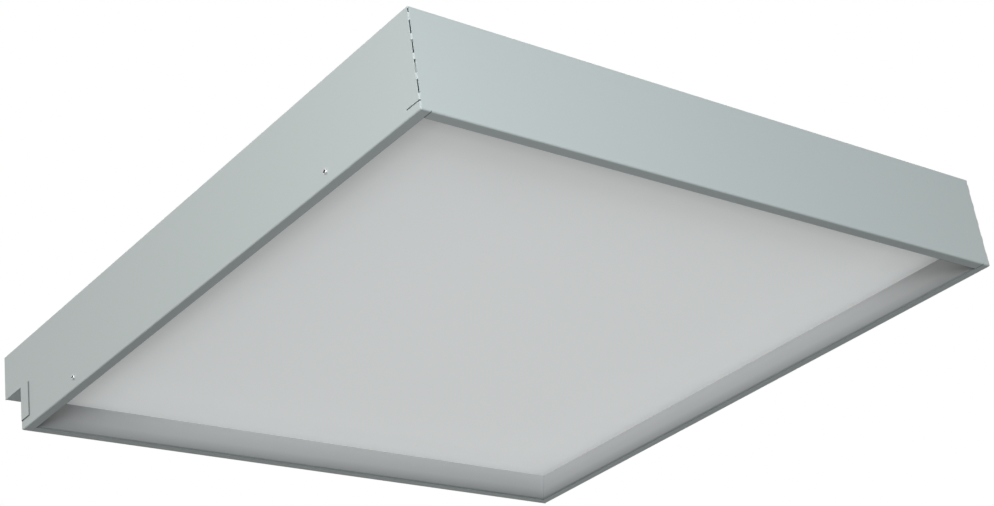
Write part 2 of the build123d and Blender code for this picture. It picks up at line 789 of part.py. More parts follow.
earth_plane = on_surface((earth_x, earth_y, ledge_floor + lug_thickness + washer_thickness), (0, 0, 1))
earth_grip = lug_thickness + washer_thickness + sheet
save(fasteners([earth_plane], earth_screw, earth_grip), "earth_screw")

# ---- driver: folded base, lid, circuit board and what stands on the board --------------------
driver_floor = ledge_floor + driver_wall
driver_top = ledge_floor + driver_height
driver_inner_width = driver_width - 2 * driver_wall
driver_board_z = driver_floor + driver_post_height
driver_parts_z = driver_board_z + driver_board_thickness

with BuildPart() as driver_base:
    with BuildSketch(Plane.XY.offset(ledge_floor)):
        with Locations((driver_x, gear_y)):
            Rectangle(driver_body, driver_width)
    extrude(amount=driver_height - driver_wall)
    with BuildSketch(Plane.XY.offset(driver_floor)):
        with Locations((driver_x, gear_y)):
            Rectangle(driver_body, driver_inner_width)
    extrude(amount=driver_height, mode=Mode.SUBTRACT)
    with BuildSketch(Plane.XY.offset(ledge_floor)):
        with Locations((driver_x, gear_y)):
            Rectangle(driver_body + 2 * driver_ear, driver_inner_width)
        with Locations(*driver_screw_places):
            Circle(gear_screw[2] + shank_gap, mode=Mode.SUBTRACT)
    extrude(amount=driver_wall)
    with BuildSketch(Plane.XY.offset(driver_floor)):
        with Locations((driver_x, gear_y)):
            with GridLocations(driver_body - 2 * driver_post_inset, driver_post_spacing_y, 2, 2):
                Circle(driver_post_radius)
    extrude(amount=driver_post_height)
save(driver_base, "driver_base")

with BuildPart() as driver_lid:
    with BuildSketch(Plane.XY.offset(driver_top - driver_wall)):
        with Locations((driver_x, gear_y)):
            Rectangle(driver_body - 2 * driver_lid_end, driver_width)
    extrude(amount=driver_wall)
    with BuildSketch(Plane.XY.offset(driver_top - driver_wall)):
        with Locations((driver_x, gear_y)):
            Rectangle(driver_body - 2 * driver_lid_end, driver_inner_width - 2 * driver_lid_gap)
            Rectangle(
                driver_body - 2 * driver_lid_end,
                driver_inner_width - 2 * driver_lid_gap - 2 * driver_wall,
                mode=Mode.SUBTRACT,
            )
    extrude(amount=-driver_lid_lip)
save(driver_lid, "driver_lid")

with BuildPart() as driver_board:
    with BuildSketch(Plane.XY.offset(driver_board_z)):
        with Locations((driver_x, gear_y)):
            Rectangle(driver_body - 2 * driver_wall, driver_inner_width - 2 * fit_gap)
    extrude(amount=driver_board_thickness)
save(driver_board, "driver_board")

driver_screw_planes = [on_surface((x, y, driver_floor), (0, 0, 1)) for x, y in driver_screw_places]
save(fasteners(driver_screw_planes, gear_screw, driver_wall + sheet), "driver_screws")

terminal_starts = {
    "driver_input": (driver_start_x, Align.MIN),
    "driver_output": (driver_end_x, Align.MAX),
}
for name, (x, side) in terminal_starts.items():
    with BuildPart() as driver_terminal:
        with BuildSketch(Plane.XY.offset(driver_parts_z)):
            with Locations((x, gear_y)):
                Rectangle(driver_terminal_length, driver_terminal_width, align=(side, Align.CENTER))
        extrude(amount=driver_terminal_height)
        chamfer(driver_terminal.faces().sort_by(Axis.Z)[-1].edges(), driver_terminal_chamfer)
    save(driver_terminal, name)

# transformer: a laminated core around a wound bobbin
with BuildPart() as driver_core:
    with BuildSketch(Plane.XY.offset(driver_parts_z)):
        with Locations((transformer_x, gear_y)):
            Rectangle(core_length, core_width)
            Rectangle(core_length - 2 * core_limb, core_width - 2 * core_limb, mode=Mode.SUBTRACT)
            Rectangle(core_limb, core_width)
    extrude(amount=core_height)
save(driver_core, "driver_core")

with BuildPart() as driver_winding:
    with BuildSketch(Plane.XY.offset(driver_parts_z)):
        with Locations((transformer_x, gear_y)):
            RectangleRounded(
                core_length - 2 * core_limb - 2 * fit_gap,
                core_width - 2 * core_limb - 2 * fit_gap,
                winding_corner,
            )
            Rectangle(core_limb + 2 * fit_gap, core_width, mode=Mode.SUBTRACT)
    extrude(amount=winding_height)
save(driver_winding, "driver_winding")

with BuildPart() as driver_choke:
    with BuildSketch(Plane.XY.offset(driver_parts_z)):
        with Locations((choke_x, gear_y)):
            Circle(choke_radius)
            Circle(choke_bore_radius, mode=Mode.SUBTRACT)
    extrude(amount=choke_height)
    fillet(driver_choke.edges().group_by(Axis.Z)[-1], choke_edge)
save(driver_choke, "driver_choke")

with BuildPart() as driver_capacitors:
    for x in capacitor_xs:
        with BuildSketch(Plane.XY.offset(driver_parts_z)):
            with Locations((x, gear_y)):
                Circle(capacitor_radius)
        extrude(amount=capacitor_height)
    fillet(driver_capacitors.edges().group_by(Axis.Z)[-1], capacitor_edge)
save(driver_capacitors, "driver_capacitors")

# ---- cable grommet in the top panel ------------------------------------------------------------
with BuildPart() as cable_grommet:
    with BuildSketch(Plane.XY.offset(panel_underside - grommet_rim)):
        with Locations((inlet_x, inlet_y)):
            Circle(inlet_hole_radius + grommet_flange)
    extrude(amount=sheet + 2 * grommet_rim)
    fillet(cable_grommet.edges().filter_by(GeomType.CIRCLE), grommet_edge)
    with BuildSketch(Plane.XY.offset(panel_underside)):
        with Locations((inlet_x, inlet_y)):
            Circle(inlet_hole_radius + 2 * grommet_flange)
            Circle(inlet_hole_radius, mode=Mode.SUBTRACT)
    extrude(amount=sheet, mode=Mode.SUBTRACT)
    with BuildSketch(Plane.XY.offset(panel_underside - grommet_rim)):
        with Locations((inlet_x, inlet_y)):
            Circle(inlet_bore_radius)
    extrude(amount=sheet + 2 * grommet_rim, mode=Mode.SUBTRACT)
save(cable_grommet, "cable_grommet")

# ---- bushing where the output leads pass through the tray's rear slope ---------------------------
with BuildPart() as lead_bushing:
    with BuildSketch(Plane.XZ.offset(-bushing_y - bushing_length / 2)):
        with Locations((bushing_x, lead_z)):
            Circle(bushing_radius - shank_gap)
            Circle(bushing_radius - bushing_wall, mode=Mode.SUBTRACT)
    extrude(amount=bushing_length)
save(lead_bushing, "lead_bushing")

# ---- wires: supply and earth wires to the driver, output leads to the first board -----------------
supply_places = {"wire_live": pole_ys[0], "wire_neutral": pole_ys[1]}
for name, y in supply_places.items():
    with BuildPart() as supply_wire:
        with BuildSketch(Plane.YZ.offset(block_face_x)):
            with Locations((y, lead_z)):
                Circle(wire_radius)
        extrude(amount=driver_start_x - block_face_x)
    save(supply_wire, name)


def wire(points):
    """A round wire along straight runs; each corner's arc is as large as its runs allow."""
    radii = []
    for before, corner, after in zip(points, points[1:], points[2:]):
        run_in = Vector(*corner) - Vector(*before)
        run_out = Vector(*after) - Vector(*corner)
        half_turn = radians(run_in.get_angle(run_out) / 2)
        radii.append(arc_share * min(run_in.length, run_out.length) / tan(half_turn))
    print("wire bend radii", [round(radius, 1) for radius in radii])
    with BuildPart() as swept:
        with BuildLine() as route:
            FilletPolyline(*points, radius=radii)
        with BuildSketch(Plane(origin=route.line @ 0, z_dir=route.line % 0)):
            Circle(wire_radius)
        sweep(path=route.line)
    return swept


earth_points = [
    (block_face_x, earth_y, lead_z),
    (block_face_x + earth_run, earth_y, lead_z),
    (barrel_x - earth_run, earth_y, barrel_z),
    (barrel_x, earth_y, barrel_z),
]
save(wire(earth_points), "wire_earth")

last_board_x = board_xs[-1]
connector_face_y = connector_y + connector_length / 2
for name, side in (("lead_positive", -1), ("lead_negative", 1)):
    shift = side * lead_gap / 2
    lead_points = [
        (driver_end_x, gear_y + shift, lead_z),
        (bushing_x + shift, gear_y + shift, lead_z),
        (bushing_x + shift, bushing_y - lead_inner_run, lead_z),
        (last_board_x + shift, connector_face_y + lead_last_run, link_z),
        (last_board_x + shift, connector_face_y, link_z),
    ]
    save(wire(lead_points), name)
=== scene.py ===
"""A recessed ceiling light for a 600 mm grid, seen from below and in front of its left corner.

A folded steel body with a narrow lip, an opal sheet set up inside it on four folded rails,
light boards on a white tray above, and the gear in a ledge at the rear.
"""

from math import cos, hypot, pi, radians, sin

import bmesh
import bpy
from mathutils import Matrix, Vector


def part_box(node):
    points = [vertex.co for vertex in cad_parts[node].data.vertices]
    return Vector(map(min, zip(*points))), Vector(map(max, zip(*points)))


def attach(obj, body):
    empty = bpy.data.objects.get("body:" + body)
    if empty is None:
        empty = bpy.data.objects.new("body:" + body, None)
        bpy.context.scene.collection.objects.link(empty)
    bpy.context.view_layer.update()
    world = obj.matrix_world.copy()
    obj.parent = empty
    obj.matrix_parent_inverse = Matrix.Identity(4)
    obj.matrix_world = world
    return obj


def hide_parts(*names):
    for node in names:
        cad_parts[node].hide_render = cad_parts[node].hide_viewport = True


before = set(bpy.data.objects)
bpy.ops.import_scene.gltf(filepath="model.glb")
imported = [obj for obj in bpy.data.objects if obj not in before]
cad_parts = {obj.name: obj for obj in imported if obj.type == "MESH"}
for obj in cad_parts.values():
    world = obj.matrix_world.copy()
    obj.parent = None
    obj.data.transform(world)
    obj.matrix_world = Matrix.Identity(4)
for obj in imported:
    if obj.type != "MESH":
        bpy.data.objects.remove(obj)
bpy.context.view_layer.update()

# ---- camera ---------------------------------------------------------------------------
# Below the light and in front of its left front corner, as one looks up at a ceiling.
# The longer lens and the small roll are those of the photograph.
camera_place = Vector((-1.0308, -1.1873, -0.6723))
camera_aim = Vector((-0.1714, -0.1565, -0.0023))
camera_roll = Matrix.Rotation(radians(-7.56), 4, "Z")

camera = bpy.data.objects.new("camera", bpy.data.cameras.new("camera"))
camera.data.sensor_width = 36.0
camera.data.lens = 71.784
camera.data.shift_x = 0.06336
camera.data.shift_y = -0.00723
camera.data.clip_start = 0.05
camera.data.clip_end = 60.0
gaze = (camera_aim - camera_place).to_track_quat("-Z", "Y").to_matrix().to_4x4()
camera.matrix_world = Matrix.Translation(camera_place) @ gaze @ camera_roll
bpy.context.scene.collection.objects.link(camera)
bpy.context.scene.camera = camera
bpy.context.scene.view_settings.view_transform = "Standard"

# ---- room light -----------------------------------------------------------------------
# A glow from the ceiling side, and five large soft lamps: the main one low in front of the
# left front corner, a wide one far to the left, a weak one under the far corner, one above
# the rear and one on the right. What the camera sees behind the light is plain white.
glow_below = 0.02
glow_horizon = 0.03
glow_above = 0.68


def feed(tree, place, given):
    """Gives an input a value, or the output of another node."""
    if isinstance(given, bpy.types.NodeSocket):
        tree.links.new(given, place)
    elif given is not None:
        place.default_value = given


def reckon(tree, operation, *given):
    """One Math node; its inputs are values or other nodes' outputs."""
    node = tree.nodes.new("ShaderNodeMath")
    node.operation = operation
    for place, value in zip(node.inputs, given):
        feed(tree, place, value)
    return node.outputs[0]


def own_axes(tree, kind="Object"):
    """The X, Y and Z of a piece's own coordinates, or of another kind of them."""
    node = tree.nodes.new("ShaderNodeSeparateXYZ")
    feed(tree, node.inputs[0], tree.nodes.new("ShaderNodeTexCoord").outputs[kind])
    return node.outputs


def ranged(tree, value, low, high):
    """0 up to a low value, 1 from a high one, and straight between them."""
    node = tree.nodes.new("ShaderNodeMapRange")
    for name, given in {"Value": value, "From Min": low, "From Max": high}.items():
        feed(tree, node.inputs[name], given)
    return node.outputs["Result"]


def ramp(tree, value, stops):
    """A colour ramp through (share, colour) stops, the first at 0 and the last at 1."""
    node = tree.nodes.new("ShaderNodeValToRGB")
    feed(tree, node.inputs["Fac"], value)
    marks = node.color_ramp.elements
    marks[0].color = (*stops[0][1], 1)
    marks[1].color = (*stops[-1][1], 1)
    for share, colour in stops[1:-1]:
        marks.new(share).color = (*colour, 1)
    return node.outputs["Color"]


def soft_lamp(name, place, aim, width, height, power, tint=(1.0, 1.0, 1.0)):
    """A large area lamp that the camera doesn't see, turned to its aim."""
    lamp = bpy.data.objects.new(name, bpy.data.lights.new(name, "AREA"))
    lamp.data.shape = "RECTANGLE"
    lamp.data.size = width
    lamp.data.size_y = height
    lamp.data.energy = power
    lamp.data.color = tint
    lamp.location = place
    lamp.rotation_euler = (Vector(aim) - Vector(place)).to_track_quat("-Z", "Y").to_euler()
    lamp.visible_camera = False
    bpy.context.scene.collection.objects.link(lamp)


world = bpy.data.worlds.new("room")
bpy.context.scene.world = world
world.use_nodes = True
sky = world.node_tree
sky.nodes.clear()
sky_share = ranged(sky, own_axes(sky, "Generated")["Z"], -1.0, 1.0)
sky_stops = [(0, (glow_below,) * 3), (0.5, (glow_horizon,) * 3), (1, (glow_above,) * 3)]
room_glow = sky.nodes.new("ShaderNodeBackground")
feed(sky, room_glow.inputs["Color"], ramp(sky, sky_share, sky_stops))
plain_white = sky.nodes.new("ShaderNodeBackground")
feed(sky, plain_white.inputs["Color"], (1, 1, 1, 1))
ray = sky.nodes.new("ShaderNodeLightPath").outputs
seen = reckon(sky, "MAXIMUM", ray["Is Camera Ray"], ray["Is Glossy Ray"])
seen = reckon(sky, "MAXIMUM", seen, ray["Is Transmission Ray"])
sky_mix = sky.nodes.new("ShaderNodeMixShader")
feed(sky, sky_mix.inputs["Fac"], seen)
feed(sky, sky_mix.inputs[1], room_glow.outputs[0])
feed(sky, sky_mix.inputs[2], plain_white.outputs[0])
feed(sky, sky.nodes.new("ShaderNodeOutputWorld").inputs["Surface"], sky_mix.outputs[0])

# each lamp's place, aim, width, height, watts and tint
cool = (0.965, 1.0, 1.015)
warm = (1.0, 0.96, 0.90)
rear_half = (0.1, 0.1, 0.05)
soft_lamp("corner_lamp", (-1.30, -1.80, -0.31), (-0.15, -0.20, 0.02), 1.2, 0.6, 32.0, cool)
soft_lamp("left_lamp", (-5.0, -0.3, -0.10), (0, 0, 0.02), 3.0, 1.5, 52.0, warm)
soft_lamp("under_lamp", (0.60, 0.60, -1.10), (0.25, 0.25, 0), 0.9, 0.9, 2.2)
soft_lamp("rear_lamp", (0.8, 3.2, 2.4), rear_half, 3.0, 2.0, 45.0)
soft_lamp("right_lamp", (3.6, 1.6, 0.45), rear_half, 2.4, 0.8, 42.0)


# ---- floor ----------------------------------------------------------------------------
# A plain pale floor well below the light, which hangs at ceiling height above it.
# It throws little light back up, so the underside of the lip stays in shade.
floor_drop = 2.4
floor_side = 30.0
floor_seen = (0.86, 0.86, 0.86, 1)
floor_unseen = (0.16, 0.16, 0.16, 1)


def colour_mix(tree, first, second, share=1.0, mode="MIX"):
    """One colour Mix node; colours and share are values or other nodes' outputs."""
    node = tree.nodes.new("ShaderNodeMix")
    node.data_type = "RGBA"
    node.blend_type = mode
    for name, given in {"Factor": share, "A": first, "B": second}.items():
        feed(tree, node.inputs[name], given)
    return node.outputs["Result"]


floor_mesh = bmesh.new()
bmesh.ops.create_grid(floor_mesh, x_segments=1, y_segments=1, size=floor_side / 2)
bmesh.ops.translate(floor_mesh, verts=floor_mesh.verts, vec=(0, 0, -floor_drop))
floor = bpy.data.objects.new("floor", bpy.data.meshes.new("floor"))
floor_mesh.to_mesh(floor.data)
floor_mesh.free()
bpy.context.scene.collection.objects.link(floor)
floor_finish = bpy.data.materials.new("pale floor")
floor_finish.use_nodes = True
floor_tree = floor_finish.node_tree
floor_shader = floor_tree.nodes["Principled BSDF"]
floor_shader.inputs["Roughness"].default_value = 0.9
floor_ray = floor_tree.nodes.new("ShaderNodeLightPath").outputs["Is Camera Ray"]
floor_tone = colour_mix(floor_tree, floor_unseen, floor_seen, floor_ray)
feed(floor_tree, floor_shader.inputs["Base Color"], floor_tone)
floor.data.materials.append(floor_finish)


# ---- folded body ----------------------------------------------------------------------
# Wall wrap, rear plate, gear channel, top panel and gear cover: 0.8 mm steel, punched and
# folded, then powder coated in a pale grey-green. The coat is satin, with the fine pebbled
# skin of powder paint and a little cloudiness from sheet to sheet.
def socket(group, name, kind, inside, value=None):
    """One named input or output of a shader node group."""
    side = "INPUT" if inside else "OUTPUT"
    new = group.interface.new_socket(name=name, in_out=side, socket_type=kind)
    if value is not None:
        new.default_value = value


def noise(tree, scale, detail, breakup=0.5, place=None):
    """One noise over a piece's own coordinates, or over those of a given place."""
    node = tree.nodes.new("ShaderNodeTexNoise")
    if place is None:
        place = tree.nodes.new("ShaderNodeTexCoord").outputs["Object"]
    inputs = {"Vector": place, "Scale": scale, "Detail": detail, "Roughness": breakup}
    for name, given in inputs.items():
        feed(tree, node.inputs[name], given)
    return node.outputs["Fac"]


def surface_group():
    """Cloudy colour, uneven roughness and a fine pebbled height, for paint, plastic and rubber."""
    group = bpy.data.node_groups.new("pebbled surface", "ShaderNodeTree")
    socket(group, "Colour", "NodeSocketColor", True, (0.8, 0.8, 0.8, 1))
    socket(group, "Cloud Colour", "NodeSocketColor", True, (0.7, 0.7, 0.7, 1))
    socket(group, "Cloud Scale", "NodeSocketFloat", True, 6.0)
    socket(group, "Grain Scale", "NodeSocketFloat", True, 900.0)
    socket(group, "Roughness", "NodeSocketFloat", True, 0.5)
    socket(group, "Roughness Spread", "NodeSocketFloat", True, 0.1)
    socket(group, "Colour", "NodeSocketColor", False)
    socket(group, "Roughness", "NodeSocketFloat", False)
    socket(group, "Height", "NodeSocketFloat", False)
    given = group.nodes.new("NodeGroupInput").outputs
    result = group.nodes.new("NodeGroupOutput").inputs
    clouds = noise(group, given["Cloud Scale"], detail=3.0)
    grain = noise(group, given["Grain Scale"], detail=2.0)
    cloudy = colour_mix(group, given["Colour"], given["Cloud Colour"], clouds)
    uneven = reckon(group, "MULTIPLY_ADD", grain, given["Roughness Spread"], given["Roughness"])
    feed(group, result["Colour"], cloudy)
    feed(group, result["Roughness"], uneven)
    feed(group, result["Height"], grain)
    return group


pebbled_surface = surface_group()


def pebbled_finish(
    name, colour, cloud, cloud_scale, grain_scale, roughness, spread, bump, bump_depth
):
    """A material of one pebbled surface, with its own colours, scales, roughness and bump."""
    material = bpy.data.materials.new(name)
    material.use_nodes = True
    tree = material.node_tree
    shader = tree.nodes["Principled BSDF"]
    surface = tree.nodes.new("ShaderNodeGroup")
    surface.node_tree = pebbled_surface
    surface.name = "surface"
    surface.inputs["Colour"].default_value = (*colour, 1)
    surface.inputs["Cloud Colour"].default_value = (*cloud, 1)
    surface.inputs["Cloud Scale"].default_value = cloud_scale
    surface.inputs["Grain Scale"].default_value = grain_scale
    surface.inputs["Roughness"].default_value = roughness
    surface.inputs["Roughness Spread"].default_value = spread
    relief = tree.nodes.new("ShaderNodeBump")
    relief.inputs["Strength"].default_value = bump
    relief.inputs["Distance"].default_value = bump_depth
    feed(tree, shader.inputs["Base Color"], surface.outputs["Colour"])
    feed(tree, shader.inputs["Roughness"], surface.outputs["Roughness"])
    feed(tree, relief.inputs["Height"], surface.outputs["Height"])
    feed(tree, shader.inputs["Normal"], relief.outputs["Normal"])
    return material


def plain_colour(material):
    """The colour that a pebbled finish has before more detail is laid over it."""
    return material.node_tree.nodes["surface"].outputs["Colour"]


def recolour(material, colour):
    """Gives a finish the colour that another node puts out."""
    shader = material.node_tree.nodes["Principled BSDF"]
    feed(material.node_tree, shader.inputs["Base Color"], colour)


def dress(names, material):
    """Gives CAD pieces their finish."""
    for name in names:
        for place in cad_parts[name].material_slots:
            place.material = material


body_paint = pebbled_finish(
    "body powder paint", colour=(0.56, 0.615, 0.610), cloud=(0.535, 0.592, 0.590),
    cloud_scale=5.0, grain_scale=850.0, roughness=0.42, spread=0.10, bump=0.40,
    bump_depth=0.00006,
)

# Thin dark lines of painted shade round the light opening's cut edges and along the open seam of
# the front lip, and a painted shadow line along the two tabs that lap the side walls, where a dark
# line shows.
lip_width = 0.009
lip_top = 0.001             # just above the lip's sheet
seam_top = 0.0005           # within the lip's sheet
edge_reach = 0.0002
seam_reach = 0.0005
tab_middle = 0.02475        # the tab's height is 8.5 to 41 mm
tab_half = 0.01625
side_skin = 0.0012          # faces this near the body's side are its outer ones
# the dark tone of the painted shade and shadow lines
painted_shade_tone = (0.21, 0.235, 0.235, 1)
wrap_low, wrap_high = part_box("wall_wrap")
plate_low, plate_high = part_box("rear_plate")
paint_tree = body_paint.node_tree


def near_plane(along, plane, reach):
    """1 in the body paint within a short reach of a plane, 0 elsewhere."""
    away = reckon(paint_tree, "ABSOLUTE", reckon(paint_tree, "SUBTRACT", along, plane))
    return reckon(paint_tree, "LESS_THAN", away, reach)


def below(along, limit):
    """1 in the body paint below a limit."""
    return reckon(paint_tree, "LESS_THAN", along, limit)


def above(along, limit):
    """1 in the body paint above a limit."""
    return reckon(paint_tree, "GREATER_THAN", along, limit)


def both(first, second):
    """1 where two masks of the body paint are both 1."""
    return reckon(paint_tree, "MULTIPLY", first, second)


def either(first, second):
    """1 where one of two masks of the body paint is 1."""
    return reckon(paint_tree, "MAXIMUM", first, second)


across, along, height = own_axes(paint_tree)
across = reckon(paint_tree, "ABSOLUTE", across)
opening_side = wrap_high.x - lip_width
opening_front = wrap_low.y + lip_width
opening_rear = plate_high.y - lip_width
end_edge = either(
    near_plane(along, opening_front, edge_reach), near_plane(along, opening_rear, edge_reach)
)
end_edge = both(end_edge, below(across, opening_side + edge_reach))
lip_edge_painted_shade = either(end_edge, near_plane(across, opening_side, edge_reach))
lip_edge_painted_shade = both(lip_edge_painted_shade, below(height, lip_top))
# the front lip butts against the side lips with an open seam, painted as a dark line of shade
butt_seam = both(near_plane(across, opening_side, seam_reach), below(along, opening_front))
butt_seam = both(butt_seam, below(height, seam_top))
# a painted shadow line on the side wall beside each tab's edge and under its foot
tab_painted_shadow = near_plane(along, plate_low.y - seam_reach / 2, seam_reach)
tab_painted_shadow = both(tab_painted_shadow, near_plane(height, tab_middle, tab_half))
tab_foot_painted_shadow = near_plane(height, tab_middle - tab_half - seam_reach / 2, seam_reach)
tab_foot_painted_shadow = both(tab_foot_painted_shadow, above(along, plate_low.y - seam_reach))
tab_painted_shadow = both(either(tab_painted_shadow, tab_foot_painted_shadow), above(across, wrap_high.x - side_skin))
painted_shade_lines = either(either(lip_edge_painted_shade, butt_seam), tab_painted_shadow)


def dust_group():
    """Grey ceiling dust that has settled in drifts on faces that look up."""
    group = bpy.data.node_groups.new("settled dust", "ShaderNodeTree")
    socket(group, "Colour", "NodeSocketColor", True, (0.5, 0.5, 0.5, 1))
    socket(group, "Dust Colour", "NodeSocketColor", True, (0.4, 0.4, 0.4, 1))
    socket(group, "Amount", "NodeSocketFloat", True, 0.4)
    socket(group, "Drift Scale", "NodeSocketFloat", True, 9.0)
    socket(group, "Colour", "NodeSocketColor", False)
    given = group.nodes.new("NodeGroupInput").outputs
    result = group.nodes.new("NodeGroupOutput").inputs
    drifts = noise(group, given["Drift Scale"], detail=6.0, breakup=0.65)
    drifts = ranged(group, drifts, low=0.35, high=0.75)
    looks_up = ranged(group, own_axes(group, "Normal")["Z"], low=0.6, high=0.95)
    cover = reckon(group, "MULTIPLY", drifts, looks_up)
    share = reckon(group, "MULTIPLY", cover, given["Amount"])
    dusted = colour_mix(group, given["Colour"], given["Dust Colour"], share)
    feed(group, result["Colour"], dusted)
    return group


dusty = paint_tree.nodes.new("ShaderNodeGroup")
dusty.node_tree = dust_group()
dusty.inputs["Dust Colour"].default_value = (0.36, 0.35, 0.33, 1)
dusty.inputs["Amount"].default_value = 0.28
dusty.inputs["Drift Scale"].default_value = 11.0
feed(paint_tree, dusty.inputs["Colour"], plain_colour(body_paint))
# the painted shade lines are laid over the dusted paint
recolour(body_paint, colour_mix(paint_tree, dusty.outputs["Colour"], painted_shade_tone, painted_shade_lines))
dress(["wall_wrap", "rear_plate", "gear_channel", "top_panel", "gear_cover"], body_paint)


# ---- diffuser rails -------------------------------------------------------------------
# Four folded channels along the walls that carry the opal sheet, in white satin powder paint.
# Painted shade darkens each rail's foot, where it stands on the lip, and fades out upwards.
rail_foot_height = 0.0008
rail_shade_top = 0.020
rail_painted_shade_stops = [(0, (0.44, 0.45, 0.45)), (0.48, (0.745,) * 3), (1, (0.88,) * 3)]
rail_paint = pebbled_finish(
    "rail powder paint", colour=(0.67, 0.68, 0.685), cloud=(0.64, 0.65, 0.655),
    cloud_scale=7.0, grain_scale=1100.0, roughness=0.45, spread=0.10, bump=0.25,
    bump_depth=0.00004,
)
rail_tree = rail_paint.node_tree
painted_shade_share = ranged(rail_tree, own_axes(rail_tree)["Z"], rail_foot_height, rail_shade_top)
painted_foot_shade = ramp(rail_tree, painted_shade_share, rail_painted_shade_stops)
# the painted shade is multiplied into the rail paint, darkest at the foot
recolour(
    rail_paint, colour_mix(rail_tree, plain_colour(rail_paint), painted_foot_shade, mode="MULTIPLY")
)
dress(["rail_front", "rail_rear", "rail_left", "rail_right"], rail_paint)


# ---- screws ---------------------------------------------------------------------------
# Bright zinc pan-head screws with a cross recess. Two on each side wall hold the side rails,
# two captive ones hold the gear cover, and smaller ones hold the boards and the gear.
mm = 0.001
body_side = wrap_high.x
front = wrap_low.y
rear = plate_high.y
screw_turn = 24
recess_arm = 0.72           # the cross's half length over the head's radius
recess_blade = 0.36         # the cross's half width over its half length
recess_depth = 0.62         # over the head's height
recess_taper = 0.62         # the recess's foot over its mouth


def metal_group():
    """Fine turned or drawn scratches in a metal, with duller and brighter patches."""
    patch_spread = 0.25                 # how much rougher the dullest patch is
    scratch_stretch = (0.06, 1.0, 1.0)
    group = bpy.data.node_groups.new("worked metal", "ShaderNodeTree")
    socket(group, "Colour", "NodeSocketColor", True, (0.7, 0.7, 0.7, 1))
    socket(group, "Dull Colour", "NodeSocketColor", True, (0.5, 0.5, 0.5, 1))
    socket(group, "Patch Scale", "NodeSocketFloat", True, 300.0)
    socket(group, "Scratch Scale", "NodeSocketFloat", True, 3000.0)
    socket(group, "Roughness", "NodeSocketFloat", True, 0.3)
    socket(group, "Colour", "NodeSocketColor", False)
    socket(group, "Roughness", "NodeSocketFloat", False)
    socket(group, "Height", "NodeSocketFloat", False)
    given = group.nodes.new("NodeGroupInput").outputs
    result = group.nodes.new("NodeGroupOutput").inputs
    stretch = group.nodes.new("ShaderNodeMapping")
    stretch.inputs["Scale"].default_value = scratch_stretch
    own_place = group.nodes.new("ShaderNodeTexCoord").outputs["Object"]
    feed(group, stretch.inputs["Vector"], own_place)
    patches = noise(group, given["Patch Scale"], detail=4.0)
    stretched = stretch.outputs["Vector"]
    scratches = noise(group, given["Scratch Scale"], detail=1.0, place=stretched)
    patchy = colour_mix(group, given["Colour"], given["Dull Colour"], patches)
    uneven = reckon(group, "MULTIPLY_ADD", patches, patch_spread, given["Roughness"])
    feed(group, result["Colour"], patchy)
    feed(group, result["Roughness"], uneven)
    feed(group, result["Height"], scratches)
    return group


worked_metal = metal_group()


def metal_finish(name, colour, dull, patch_scale, scratch_scale, roughness, bump):
    """A bare or plated metal: colour and roughness in patches, with fine scratches."""
    material = bpy.data.materials.new(name)
    material.use_nodes = True
    tree = material.node_tree
    shader = tree.nodes["Principled BSDF"]
    shader.inputs["Metallic"].default_value = 1.0
    surface = tree.nodes.new("ShaderNodeGroup")
    surface.node_tree = worked_metal
    surface.inputs["Colour"].default_value = (*colour, 1)
    surface.inputs["Dull Colour"].default_value = (*dull, 1)
    surface.inputs["Patch Scale"].default_value = patch_scale
    surface.inputs["Scratch Scale"].default_value = scratch_scale
    surface.inputs["Roughness"].default_value = roughness
    relief = tree.nodes.new("ShaderNodeBump")
    relief.inputs["Strength"].default_value = bump
    relief.inputs["Distance"].default_value = 0.00002
    feed(tree, shader.inputs["Base Color"], surface.outputs["Colour"])
    feed(tree, shader.inputs["Roughness"], surface.outputs["Roughness"])
    feed(tree, relief.inputs["Height"], surface.outputs["Height"])
    feed(tree, shader.inputs["Normal"], relief.outputs["Normal"])
    return material


def finished_piece(name, mesh, materials, body, stands_for):
    """Turns a bmesh into a piece that rides on a body and stands for its CAD nodes."""
    bmesh.ops.recalc_face_normals(mesh, faces=mesh.faces)
    piece = bpy.data.objects.new(name, bpy.data.meshes.new(name))
    mesh.to_mesh(piece.data)
    mesh.free()
    for material in materials:
        piece.data.materials.append(material)
    bpy.context.scene.collection.objects.link(piece)
    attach(piece, body)
    if stands_for:
        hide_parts(*stands_for)
    return piece


def seat(point, outwards):
    """Puts a piece that was made upright at the origin on its seat, facing outwards."""
    turn = Vector(outwards).to_track_quat("Z", "X").to_matrix().to_4x4()
    return Matrix.Translation(Vector(point)) @ turn


def turned_shape(mesh, profile, steps, place):
    """Spins a profile of (radius, height) round the seat's axis; returns its new vertices."""
    before = set(mesh.verts)
    points = [mesh.verts.new((radius, 0, height)) for radius, height in profile]
    edges = [mesh.edges.new(pair) for pair in zip(points, points[1:])]
    bmesh.ops.spin(
        mesh, geom=points + edges, cent=(0, 0, 0), axis=(0, 0, 1), angle=2 * pi,
        steps=steps, use_merge=True,
    )
    made = [vertex for vertex in mesh.verts if vertex not in before]
    bmesh.ops.remove_doubles(mesh, verts=made, dist=0.002 * mm)
    made = [vertex for vertex in mesh.verts if vertex not in before]
    bmesh.ops.transform(mesh, matrix=place, verts=made)
    return made


